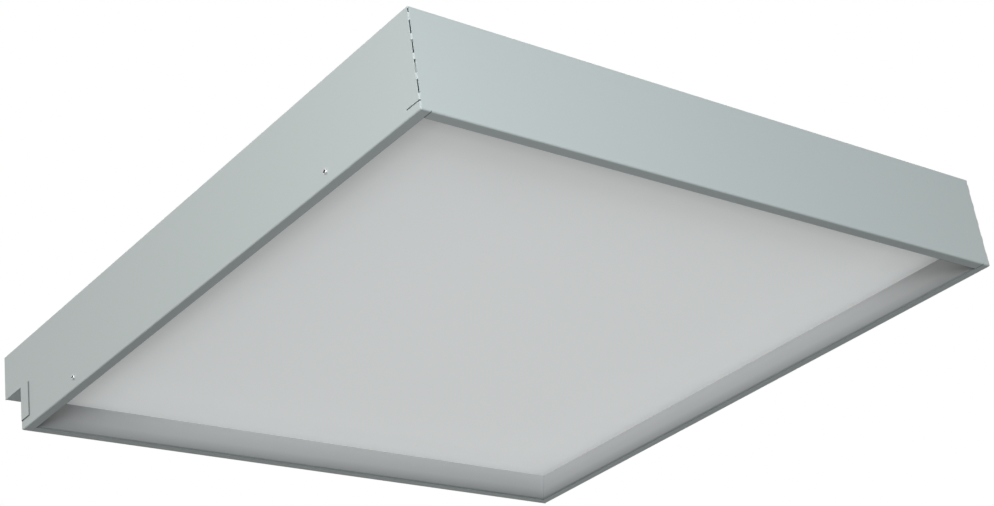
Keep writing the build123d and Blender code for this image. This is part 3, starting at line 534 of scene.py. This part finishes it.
def screw(mesh, place, head_radius, head_height, shank_radius, length):
    """One pan-head screw: domed rim, cross recess and a threaded shank."""
    rim_radius = 0.76 * head_radius
    thread_pitch = 0.8 * mm
    core = 0.84 * shank_radius
    tip = 0.4 * core
    recess_mouth = 1.02 * head_height
    profile = [
        (rim_radius, head_height),
        (0.90 * head_radius, 0.88 * head_height),
        (0.98 * head_radius, 0.60 * head_height),
        (head_radius, 0.22 * head_height),
        (0.97 * head_radius, 0),
        (shank_radius, 0),
    ]
    turns = int((length - shank_radius) / thread_pitch)
    for step in range(turns):
        profile.append((core, -(step + 0.5) * thread_pitch))
        profile.append((shank_radius, -(step + 1.0) * thread_pitch))
    profile.append((tip, -length))
    profile.append((0, -length))
    turned_shape(mesh, profile, screw_turn, place)
    arm = recess_arm * head_radius
    cross = bmesh.ops.create_circle(mesh, cap_ends=False, radius=arm, segments=screw_turn)["verts"]
    for point in cross:
        folded = abs(point.co.to_2d().angle_signed(Vector((1, 0)))) % (pi / 2)
        folded = min(folded, pi / 2 - folded)
        reach = min(arm / cos(folded), recess_blade * arm / max(sin(folded), 0.01))
        point.co = point.co.normalized() * reach
        point.co.z = recess_mouth
    bmesh.ops.transform(mesh, matrix=place, verts=cross)
    cross_edges = [edge for edge in mesh.edges if edge.is_wire and edge.verts[0] in cross]
    up = place.to_3x3() @ Vector((0, 0, 1))
    seat_point = place.translation
    rim_edges = [
        edge
        for edge in mesh.edges
        if edge.is_boundary
        and all(abs((v.co - seat_point).dot(up) - head_height) < 0.01 * mm for v in edge.verts)
        and (edge.verts[0].co - seat_point).length < 2 * head_radius
    ]
    bmesh.ops.bridge_loops(mesh, edges=cross_edges + rim_edges)
    walls = bmesh.ops.extrude_edge_only(mesh, edges=cross_edges)["geom"]
    low = [item for item in walls if isinstance(item, bmesh.types.BMVert)]
    low_edges = [item for item in walls if isinstance(item, bmesh.types.BMEdge)]
    middle = sum((v.co for v in low), Vector()) / len(low)
    for vertex in low:
        tapered = (vertex.co - middle) * recess_taper
        vertex.co = middle + tapered - up * recess_depth * head_height
    bmesh.ops.holes_fill(mesh, edges=low_edges)
    # the recess walls and foot take the painted shade finish
    for point in low:
        for face in point.link_faces:
            face.material_index = 1


bright_zinc = metal_finish(
    "bright zinc", colour=(0.86, 0.87, 0.89), dull=(0.66, 0.67, 0.69),
    patch_scale=500.0, scratch_scale=5000.0, roughness=0.14, bump=0.3,
)
# a near-black finish in the cross recess: painted shade standing in for the shadow inside it
recess_painted_shade = pebbled_finish(
    "painted shade in recess", colour=(0.020, 0.020, 0.020), cloud=(0.035, 0.034, 0.032),
    cloud_scale=700.0, grain_scale=4000.0, roughness=0.60, spread=0.10, bump=0.2,
    bump_depth=0.00002,
)


def screw_set(
    name, stands_for, seats, size,
    body="housing", material=bright_zinc,
):
    """Like screws as one piece; size is head radius and height, shank radius and length."""
    mesh = bmesh.new()
    for place in seats:
        screw(mesh, place, *size)
    piece = finished_piece(name, mesh, [material, recess_painted_shade], body, [stands_for])
    piece.data.shade_smooth()
    piece.data.set_sharp_from_angle(angle=radians(35))


rail_screw_size = (2.4 * mm, 1.2 * mm, 1.2 * mm, 5.0 * mm)
rail_screw_height = 10.3 * mm
rail_screw_ys = (front + 113.4 * mm, rear - 97.5 * mm)
rail_seats = [
    seat((side * body_side, y, rail_screw_height), (side, 0, 0))
    for side in (-1, 1)
    for y in rail_screw_ys
]
screw_set("rail_screw_set", "rail_screws", rail_seats, rail_screw_size)

gear_head_radius = 3.0 * mm
gear_head_height = 1.6 * mm
gear_head = (gear_head_radius, gear_head_height, 1.5 * mm)
upwards = (0, 0, 1)

cover_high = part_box("gear_cover")[1]
cover_screw_x = 180 * mm
cover_screw_y = cover_high.y - 4.5 * mm
cover_seats = [
    seat((side * cover_screw_x, cover_screw_y, cover_high.z), upwards) for side in (-1, 1)
]
screw_set(
    "cover_screw_set", "cover_screws", cover_seats, (*gear_head, 4.8 * mm), body="gear_cover"
)

driver_low, driver_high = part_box("driver_screws")
gear_middle = (driver_low.y + driver_high.y) / 2
driver_seats = [
    seat((x, gear_middle, driver_high.z - gear_head_height), upwards)
    for x in (driver_low.x + gear_head_radius, driver_high.x - gear_head_radius)
]
screw_set("driver_screw_set", "driver_screws", driver_seats, (*gear_head, 1.8 * mm))

block_low, block_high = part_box("terminal_screw")
block_screw_x = (block_low.x + block_high.x) / 2
block_seat = seat((block_screw_x, gear_middle, block_high.z - gear_head_height), upwards)
screw_set("block_screw", "terminal_screw", [block_seat], (*gear_head, 3.8 * mm))

earth_brass = metal_finish(
    "earth brass", colour=(0.62, 0.45, 0.18), dull=(0.48, 0.34, 0.14),
    patch_scale=400.0, scratch_scale=5000.0, roughness=0.24, bump=0.3,
)
earth_head_height = 2.0 * mm
earth_size = (3.3 * mm, earth_head_height, 1.9 * mm, 2.2 * mm)
earth_low, earth_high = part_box("earth_screw")
earth_middle = (earth_low + earth_high) / 2
earth_seat = seat((earth_middle.x, earth_middle.y, earth_high.z - earth_head_height), upwards)
screw_set(
    "earth_terminal_screw", "earth_screw", [earth_seat], earth_size,
    material=earth_brass,
)
dress(["earth_washer"], bright_zinc)
tinned = metal_finish(
    "tinned copper", colour=(0.60, 0.60, 0.58), dull=(0.48, 0.47, 0.45),
    patch_scale=600.0, scratch_scale=5000.0, roughness=0.32, bump=0.2,
)
dress(["earth_lug"], tinned)


# ---- rivets ---------------------------------------------------------------------------
# Aluminium blind rivets through the flanges into the top panel, and through the panel into
# the tray. Each has a domed head with the broken mandrel a little below its middle.
rivet_metal = metal_finish(
    "bare aluminium", colour=(0.66, 0.67, 0.68), dull=(0.52, 0.53, 0.54),
    patch_scale=350.0, scratch_scale=4000.0, roughness=0.34, bump=0.3,
)
mandrel_steel = metal_finish(
    "mandrel steel", colour=(0.20, 0.20, 0.21), dull=(0.12, 0.11, 0.10),
    patch_scale=900.0, scratch_scale=5000.0, roughness=0.42, bump=0.3,
)
rivet_head = 3.2 * mm
rivet_head_height = 1.0 * mm
rivet_shank = 1.6 * mm
mandrel_radius = 0.92 * mm


def rivet_set(name, stands_for, places, top, grip):
    """Like rivets as one piece, heads up on one level."""
    mesh = bmesh.new()
    profile = [
        (0, 0.55 * mm), (0.85 * mm, 0.50 * mm), (0.95 * mm, 0.98 * mm), (1.6 * mm, 0.92 * mm),
        (2.4 * mm, 0.66 * mm), (3.0 * mm, 0.30 * mm), (rivet_head, 0), (rivet_shank, 0),
        (rivet_shank, -grip + 0.6 * mm), (1.1 * mm, -grip), (0, -grip),
    ]
    for x, y in places:
        turned_shape(mesh, profile, screw_turn, seat((x, y, top), upwards))
    for face in mesh.faces:
        middle = face.calc_center_median()
        off_middle = min(hypot(x - middle.x, y - middle.y) for x, y in places)
        if off_middle < mandrel_radius and middle.z > top:
            face.material_index = 1
    piece = finished_piece(
        name, mesh, [rivet_metal, mandrel_steel], "housing", [stands_for]
    )
    piece.data.shade_smooth()
    piece.data.set_sharp_from_angle(angle=radians(40))


# three rivets along each side flange, two on the front one and three on the rear one
side_flange_middle = 7.0 * mm
rear_flange_middle = 5.0 * mm
side_rivet_inset = 37.2 * mm
front_rivet_inset = 148.8 * mm
rear_rivet_inset = 89.2 * mm
body_middle_y = (front + rear) / 2
side_rivet_x = body_side - side_flange_middle
side_rivet_pitch = body_side - side_rivet_inset
panel_rivet_places = [
    (side * side_rivet_x, body_middle_y + step * side_rivet_pitch)
    for side in (-1, 1)
    for step in (-1, 0, 1)
]
panel_rivet_places += [
    (side * (body_side - front_rivet_inset), front + side_flange_middle) for side in (-1, 1)
]
panel_rivet_places += [
    (step * (body_side - rear_rivet_inset), wrap_high.y - rear_flange_middle)
    for step in (-1, 0, 1)
]
rivet_set("panel_rivet_set", "panel_rivets", panel_rivet_places, wrap_high.z, 2.6 * mm)

tray_low, tray_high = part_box("tray_rivets")
tray_rivet_places = [
    (x, y)
    for x in (tray_low.x + rivet_head, tray_high.x - rivet_head)
    for y in (tray_low.y + rivet_head, tray_high.y - rivet_head)
]
tray_rivet_top = tray_high.z - rivet_head_height
rivet_set("tray_rivet_set", "tray_rivets", tray_rivet_places, tray_rivet_top, 2.4 * mm)


# ---- reflector tray -------------------------------------------------------------------
# A tray of 0.6 mm steel in matt high-reflectance white, with four sloping sides. Four rivets
# hold it up under the top panel.
reflector_white = pebbled_finish(
    "reflector white", colour=(0.86, 0.86, 0.85), cloud=(0.83, 0.83, 0.82), cloud_scale=6.0,
    grain_scale=900.0, roughness=0.62, spread=0.10, bump=0.25, bump_depth=0.00004,
)
dress(["reflector_tray"], reflector_white)


# ---- light boards ---------------------------------------------------------------------
# Five white boards under the tray, each with 24 diodes in white cases with a yellow phosphor
# window, and a two-pole push-wire connector at the rear end. White wires link the boards.
board_white = pebbled_finish(
    "white board coat", colour=(0.82, 0.83, 0.82), cloud=(0.79, 0.80, 0.79),
    cloud_scale=40.0, grain_scale=700.0, roughness=0.38, spread=0.06, bump=0.15,
    bump_depth=0.00003,
)
case_white = pebbled_finish(
    "diode case", colour=(0.84, 0.84, 0.82), cloud=(0.80, 0.80, 0.78), cloud_scale=200.0,
    grain_scale=3000.0, roughness=0.45, spread=0.08, bump=0.1, bump_depth=0.00002,
)
phosphor = pebbled_finish(
    "phosphor window", colour=(0.88, 0.72, 0.16), cloud=(0.80, 0.62, 0.12),
    cloud_scale=900.0, grain_scale=5000.0, roughness=0.28, spread=0.06, bump=0.15,
    bump_depth=0.00002,
)
phosphor_shader = phosphor.node_tree.nodes["Principled BSDF"]
phosphor_shader.inputs["Emission Color"].default_value = (1.0, 0.86, 0.45, 1)
phosphor_shader.inputs["Emission Strength"].default_value = 0.6
connector_plastic = pebbled_finish(
    "connector plastic", colour=(0.80, 0.80, 0.77), cloud=(0.76, 0.76, 0.73),
    cloud_scale=120.0, grain_scale=1500.0, roughness=0.42, spread=0.08, bump=0.15,
    bump_depth=0.00003,
)
diodes_in_row = 24
diode_length = 3.5 * mm
window_rim = 0.35 * mm
window_depth = 0.15 * mm
pole_gap = 0.1 * mm
connector_round = 0.35 * mm
pocket_rim = 0.8 * mm
pocket_slope = 0.3 * mm
pocket_depth = 0.9 * mm


def box_shape(mesh, low, high):
    """A plain block between two corners; returns its vertices and faces."""
    low = Vector(low)
    high = Vector(high)
    size = high - low
    matrix = Matrix.Translation((low + high) / 2) @ Matrix.Diagonal((*size, 1))
    points = bmesh.ops.create_cube(mesh, size=1.0, matrix=matrix)["verts"]
    return points, list({face for point in points for face in point.link_faces})


def facing(faces, direction):
    """The face of a block that looks along a direction."""
    return max(faces, key=lambda face: face.normal.dot(Vector(direction)))


for number in range(1, 6):
    board = f"led_board_{number}"
    row = f"led_row_{number}"
    block = f"led_connector_{number}"
    dress([board], board_white)

    row_low, row_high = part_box(row)
    pitch = (row_high.y - row_low.y - diode_length) / (diodes_in_row - 1)
    mesh = bmesh.new()
    for step in range(diodes_in_row):
        start = row_low.y + step * pitch
        points, faces = box_shape(
            mesh, (row_low.x, start, row_low.z), (row_high.x, start + diode_length, row_high.z)
        )
        mesh.normal_update()
        window = facing(faces, (0, 0, -1))
        bmesh.ops.inset_individual(mesh, faces=[window], thickness=window_rim, depth=-window_depth)
        window.material_index = 1
    finished_piece(
        f"diode_row_{number}", mesh, [case_white, phosphor], "housing", [row]
    )

    low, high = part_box(block)
    mesh = bmesh.new()
    pole = (high.y - low.y) / 2
    for side in (0, 1):
        pole_low = (low.x, low.y + side * pole + pole_gap / 2, low.z)
        pole_high = (high.x, low.y + (side + 1) * pole - pole_gap / 2, high.z)
        points, faces = box_shape(mesh, pole_low, pole_high)
        bmesh.ops.bevel(
            mesh, geom=list({edge for point in points for edge in point.link_edges}),
            offset=connector_round, segments=2, profile=0.5, affect="EDGES", material=-1,
        )
    mesh.normal_update()
    for direction in ((1, 0, 0), (-1, 0, 0), (0, 0, -1)):
        largest = sorted(
            (face for face in mesh.faces if face.normal.dot(Vector(direction)) > 0.99),
            key=lambda face: -face.calc_area(),
        )[:2]
        bmesh.ops.inset_individual(mesh, faces=largest, thickness=pocket_rim, depth=0)
        bmesh.ops.inset_individual(
            mesh, faces=largest, thickness=pocket_slope, depth=-pocket_depth
        )
    finished_piece(
        f"board_connector_{number}", mesh, [connector_plastic], "housing",
        [block],
    )

board_head_radius = 2.6 * mm
board_screw_size = (board_head_radius, 1.5 * mm, 1.3 * mm, 2.2 * mm)
board_screw_edge = 1.0 * mm     # from the board's edge to the head
board_screw_end = 24.0 * mm     # from the board's end to the outer screws
board_seats = []
for number in range(1, 6):
    board_low, board_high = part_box(f"led_board_{number}")
    board_middle = (board_low.y + board_high.y) / 2
    reach = (board_high.y - board_low.y) / 2 - board_screw_end
    screw_x = board_high.x - board_head_radius - board_screw_edge
    board_seats += [
        seat((screw_x, board_middle + step * reach, board_low.z), (0, 0, -1))
        for step in (-1, 0, 1)
    ]
screw_set("board_screw_set", "board_screws", board_seats, board_screw_size)


# ---- diffuser -------------------------------------------------------------------------
# One 3 mm opal acrylic sheet, lit from behind by the boards; its matt face scatters the light.
# It lies loose on the rails, and lifts off them.
opal = pebbled_finish(
    "opal acrylic", colour=(0.785, 0.80, 0.80), cloud=(0.765, 0.78, 0.78), cloud_scale=3.0,
    grain_scale=1600.0, roughness=0.50, spread=0.08, bump=0.15, bump_depth=0.00003,
)
opal_shader = opal.node_tree.nodes["Principled BSDF"]
opal_shader.inputs["Emission Strength"].default_value = 0.33
# the boards stop short of the walls, so the sheet's glow dims at its edges; along the front and
# left walls it is darker still with a painted shadow of the lip
painted_shadow_edge = (0.137, 0.14, 0.14)
far_end = (0.635, 0.645, 0.645)
red_share = 0.985
between = ((0.045, 0.49), (0.09, 0.92), (0.13, 1.0), (0.90, 1.0), (0.96, 0.87))
glow_fade_and_painted_shadow_stops = [(share, (red_share * glow, glow, glow)) for share, glow in between]
glow_fade_and_painted_shadow_stops = [(0, painted_shadow_edge), *glow_fade_and_painted_shadow_stops, (1, far_end)]
opal_tree = opal.node_tree
opal_axes = own_axes(opal_tree)
sheet_low, sheet_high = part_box("diffuser")
fades = []
for axis in (0, 1):
    inwards = reckon(opal_tree, "SUBTRACT", opal_axes[axis], sheet_low[axis])
    inwards = reckon(opal_tree, "DIVIDE", inwards, sheet_high[axis] - sheet_low[axis])
    fades.append(ramp(opal_tree, inwards, glow_fade_and_painted_shadow_stops))
# the glow with its edge fade and the painted shadow along the front and left walls
backlight_with_painted_shadow = colour_mix(opal_tree, *fades, mode="MULTIPLY")
feed(opal_tree, opal_shader.inputs["Emission Color"], backlight_with_painted_shadow)
dress(["diffuser"], opal)


# ---- driver ---------------------------------------------------------------------------
# A linear driver in a folded aluminium case: green board, wound transformer and choke,
# four electrolytic capacitors in black sleeves, and a push-wire terminal at each end.
case_metal = metal_finish(
    "driver case", colour=(0.60, 0.61, 0.62), dull=(0.52, 0.53, 0.54), patch_scale=60.0,
    scratch_scale=1800.0, roughness=0.36, bump=0.35,
)
dress(["driver_base", "driver_lid"], case_metal)
board_green = pebbled_finish(
    "green board", colour=(0.015, 0.085, 0.035), cloud=(0.025, 0.115, 0.045),
    cloud_scale=420.0, grain_scale=2600.0, roughness=0.34, spread=0.10, bump=0.3,
    bump_depth=0.00005,
)
dress(["driver_board"], board_green)
ferrite = pebbled_finish(
    "ferrite", colour=(0.028, 0.028, 0.031), cloud=(0.040, 0.040, 0.043), cloud_scale=300.0,
    grain_scale=3500.0, roughness=0.55, spread=0.15, bump=0.4, bump_depth=0.00005,
)
dress(["driver_core"], ferrite)
winding_tape = pebbled_finish(
    "winding tape", colour=(0.55, 0.42, 0.05), cloud=(0.50, 0.36, 0.04), cloud_scale=250.0,
    grain_scale=1200.0, roughness=0.28, spread=0.10, bump=0.3, bump_depth=0.00004,
)
dress(["driver_winding"], winding_tape)
dress(["driver_input", "driver_output"], connector_plastic)

sleeve = pebbled_finish(
    "capacitor sleeve", colour=(0.012, 0.012, 0.016), cloud=(0.020, 0.020, 0.026),
    cloud_scale=300.0, grain_scale=1800.0, roughness=0.30, spread=0.08, bump=0.2,
    bump_depth=0.00003,
)
capacitor_low, capacitor_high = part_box("driver_capacitors")
capacitor_radius = (capacitor_high.y - capacitor_low.y) / 2
capacitor_height = capacitor_high.z - capacitor_low.z
first_pair_pitch = 14.0 * mm
last_pair_pitch = 16.0 * mm
capacitor_places = [
    capacitor_low.x + capacitor_radius,
    capacitor_low.x + capacitor_radius + first_pair_pitch,
    capacitor_high.x - capacitor_radius - last_pair_pitch,
    capacitor_high.x - capacitor_radius,
]
lid_depth = 0.5 * mm
capacitor_turn = 32
mesh = bmesh.new()
capacitor_profile = [
    (0, capacitor_height - lid_depth),
    (capacitor_radius - 1.4 * mm, capacitor_height - lid_depth),
    (capacitor_radius - 1.3 * mm, capacitor_height - 0.05 * mm),
    (capacitor_radius - 0.5 * mm, capacitor_height),
    (capacitor_radius, capacitor_height - 0.6 * mm),
    (capacitor_radius, 2.6 * mm),
    (capacitor_radius - 0.5 * mm, 2.1 * mm),
    (capacitor_radius, 1.6 * mm),
    (capacitor_radius, 0.4 * mm),
    (capacitor_radius - 0.4 * mm, 0),
    (0, 0),
]
for x in capacitor_places:
    capacitor_seat = seat((x, gear_middle, capacitor_low.z), upwards)
    turned_shape(mesh, capacitor_profile, capacitor_turn, capacitor_seat)
mesh.normal_update()
for face in mesh.faces:
    above_lid = face.calc_center_median().z - (capacitor_high.z - lid_depth)
    face.material_index = 1 if abs(above_lid) < 0.1 * mm else 0
capacitors = finished_piece(
    "capacitor_set", mesh, [sleeve, rivet_metal], "housing",
    ["driver_capacitors"],
)
capacitors.data.shade_smooth()
capacitors.data.set_sharp_from_angle(angle=radians(40))

# the choke: a ferrite ring with one layer of enamelled copper wire wound round it
copper = metal_finish(
    "enamelled copper", colour=(0.60, 0.24, 0.08), dull=(0.48, 0.17, 0.06),
    patch_scale=400.0, scratch_scale=4000.0, roughness=0.25, bump=0.1,
)
choke_low, choke_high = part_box("driver_choke")
choke_centre = (choke_low + choke_high) / 2
wire_gauge = 0.7 * mm
ring_outer = (choke_high.x - choke_low.x) / 2 - wire_gauge
ring_bore = 3.5 * mm        # what the winding leaves open
ring_inner = ring_bore + wire_gauge
ring_half_height = (choke_high.z - choke_low.z) / 2 - wire_gauge
ring_corner = 0.7 * mm
ring_turn = 48
ring_flat = ring_half_height - ring_corner
ring_profile = [
    (ring_inner, -ring_flat), (ring_inner, ring_flat),
    (ring_inner + ring_corner, ring_half_height), (ring_outer - ring_corner, ring_half_height),
    (ring_outer, ring_flat), (ring_outer, -ring_flat),
    (ring_outer - ring_corner, -ring_half_height), (ring_inner + ring_corner, -ring_half_height),
    (ring_inner, -ring_flat),
]
mesh = bmesh.new()
turned_shape(mesh, ring_profile, ring_turn, Matrix.Translation(choke_centre))
finished_piece("choke_ring", mesh, [ferrite], "housing", ["driver_choke"])

choke_turns = 22
points_in_turn = 12
winding_share = 0.86        # of the ring's round that the wire covers
route = bpy.data.curves.new("choke_winding", "CURVE")
route.dimensions = "3D"
route.bevel_depth = wire_gauge / 2
route.bevel_resolution = 2
path = route.splines.new("NURBS")
path.points.add(choke_turns * points_in_turn)
half_band = (ring_outer - ring_inner) / 2 + wire_gauge / 2
half_rise = ring_half_height + wire_gauge / 2
for index, point in enumerate(path.points):
    turn = 2 * pi * index / points_in_turn
    swing = winding_share * 2 * pi * index / (choke_turns * points_in_turn)
    radius = (ring_outer + ring_inner) / 2 + half_band * cos(turn)
    point.co = (
        choke_centre.x + radius * cos(swing),
        choke_centre.y + radius * sin(swing),
        choke_centre.z + half_rise * sin(turn),
        1,
    )
path.order_u = 3
path.use_endpoint_u = True
winding_curve = bpy.data.objects.new("choke_winding_curve", route)
bpy.context.scene.collection.objects.link(winding_curve)
bpy.context.view_layer.update()
winding_mesh = bpy.data.meshes.new_from_object(winding_curve)
bpy.data.objects.remove(winding_curve)
mesh = bmesh.new()
mesh.from_mesh(winding_mesh)
bmesh.ops.holes_fill(mesh, edges=[edge for edge in mesh.edges if edge.is_boundary])
finished_piece("choke_winding", mesh, [copper], "housing", None).data.shade_smooth()


# ---- supply terminal block ------------------------------------------------------------
# A moulded three-pole push-wire block; each pole has an orange spring-return release button.
# One screw through its ear holds it down.
block_plastic = pebbled_finish(
    "block polyamide", colour=(0.70, 0.70, 0.67), cloud=(0.66, 0.66, 0.63), cloud_scale=90.0,
    grain_scale=1300.0, roughness=0.46, spread=0.10, bump=0.2, bump_depth=0.00003,
)
dress(["terminal_block"], block_plastic)
button_orange = pebbled_finish(
    "button polyamide", colour=(0.72, 0.20, 0.02), cloud=(0.66, 0.17, 0.02),
    cloud_scale=150.0, grain_scale=1500.0, roughness=0.38, spread=0.08, bump=0.2,
    bump_depth=0.00003,
)
dress(["button_live", "button_neutral", "button_earth"], button_orange)


# ---- wires, grommet and bushing -------------------------------------------------------
# Solid-core wires in coloured insulation, the earth wire in green with a yellow stripe,
# and two black rubber rings where cable and wires pass through sheet metal.
insulation = {
    "wire_live": (0.16, 0.055, 0.02),
    "wire_neutral": (0.015, 0.09, 0.38),
    "wire_earth": (0.05, 0.28, 0.05),
    "lead_positive": (0.45, 0.015, 0.012),
    "lead_negative": (0.015, 0.015, 0.016),
    "link_wires": (0.75, 0.75, 0.72),
}
stripe_yellow = (0.75, 0.62, 0.03, 1)
for name, colour in insulation.items():
    cloud = tuple(0.9 * channel for channel in colour)
    coat = pebbled_finish(
        f"{name} insulation", colour=colour, cloud=cloud, cloud_scale=60.0,
        grain_scale=1500.0, roughness=0.36, spread=0.08, bump=0.15, bump_depth=0.00003,
    )
    dress([name], coat)
    if name == "wire_earth":
        tree = coat.node_tree
        middle = (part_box(name)[0].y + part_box(name)[1].y) / 2
        on_stripe = reckon(tree, "GREATER_THAN", own_axes(tree)["Y"], middle)
        recolour(coat, colour_mix(tree, plain_colour(coat), stripe_yellow, on_stripe))

black_rubber = pebbled_finish(
    "black rubber", colour=(0.018, 0.018, 0.018), cloud=(0.030, 0.030, 0.030),
    cloud_scale=150.0, grain_scale=1800.0, roughness=0.62, spread=0.12, bump=0.3,
    bump_depth=0.00005,
)
dress(["cable_grommet", "lead_bushing"], black_rubber)
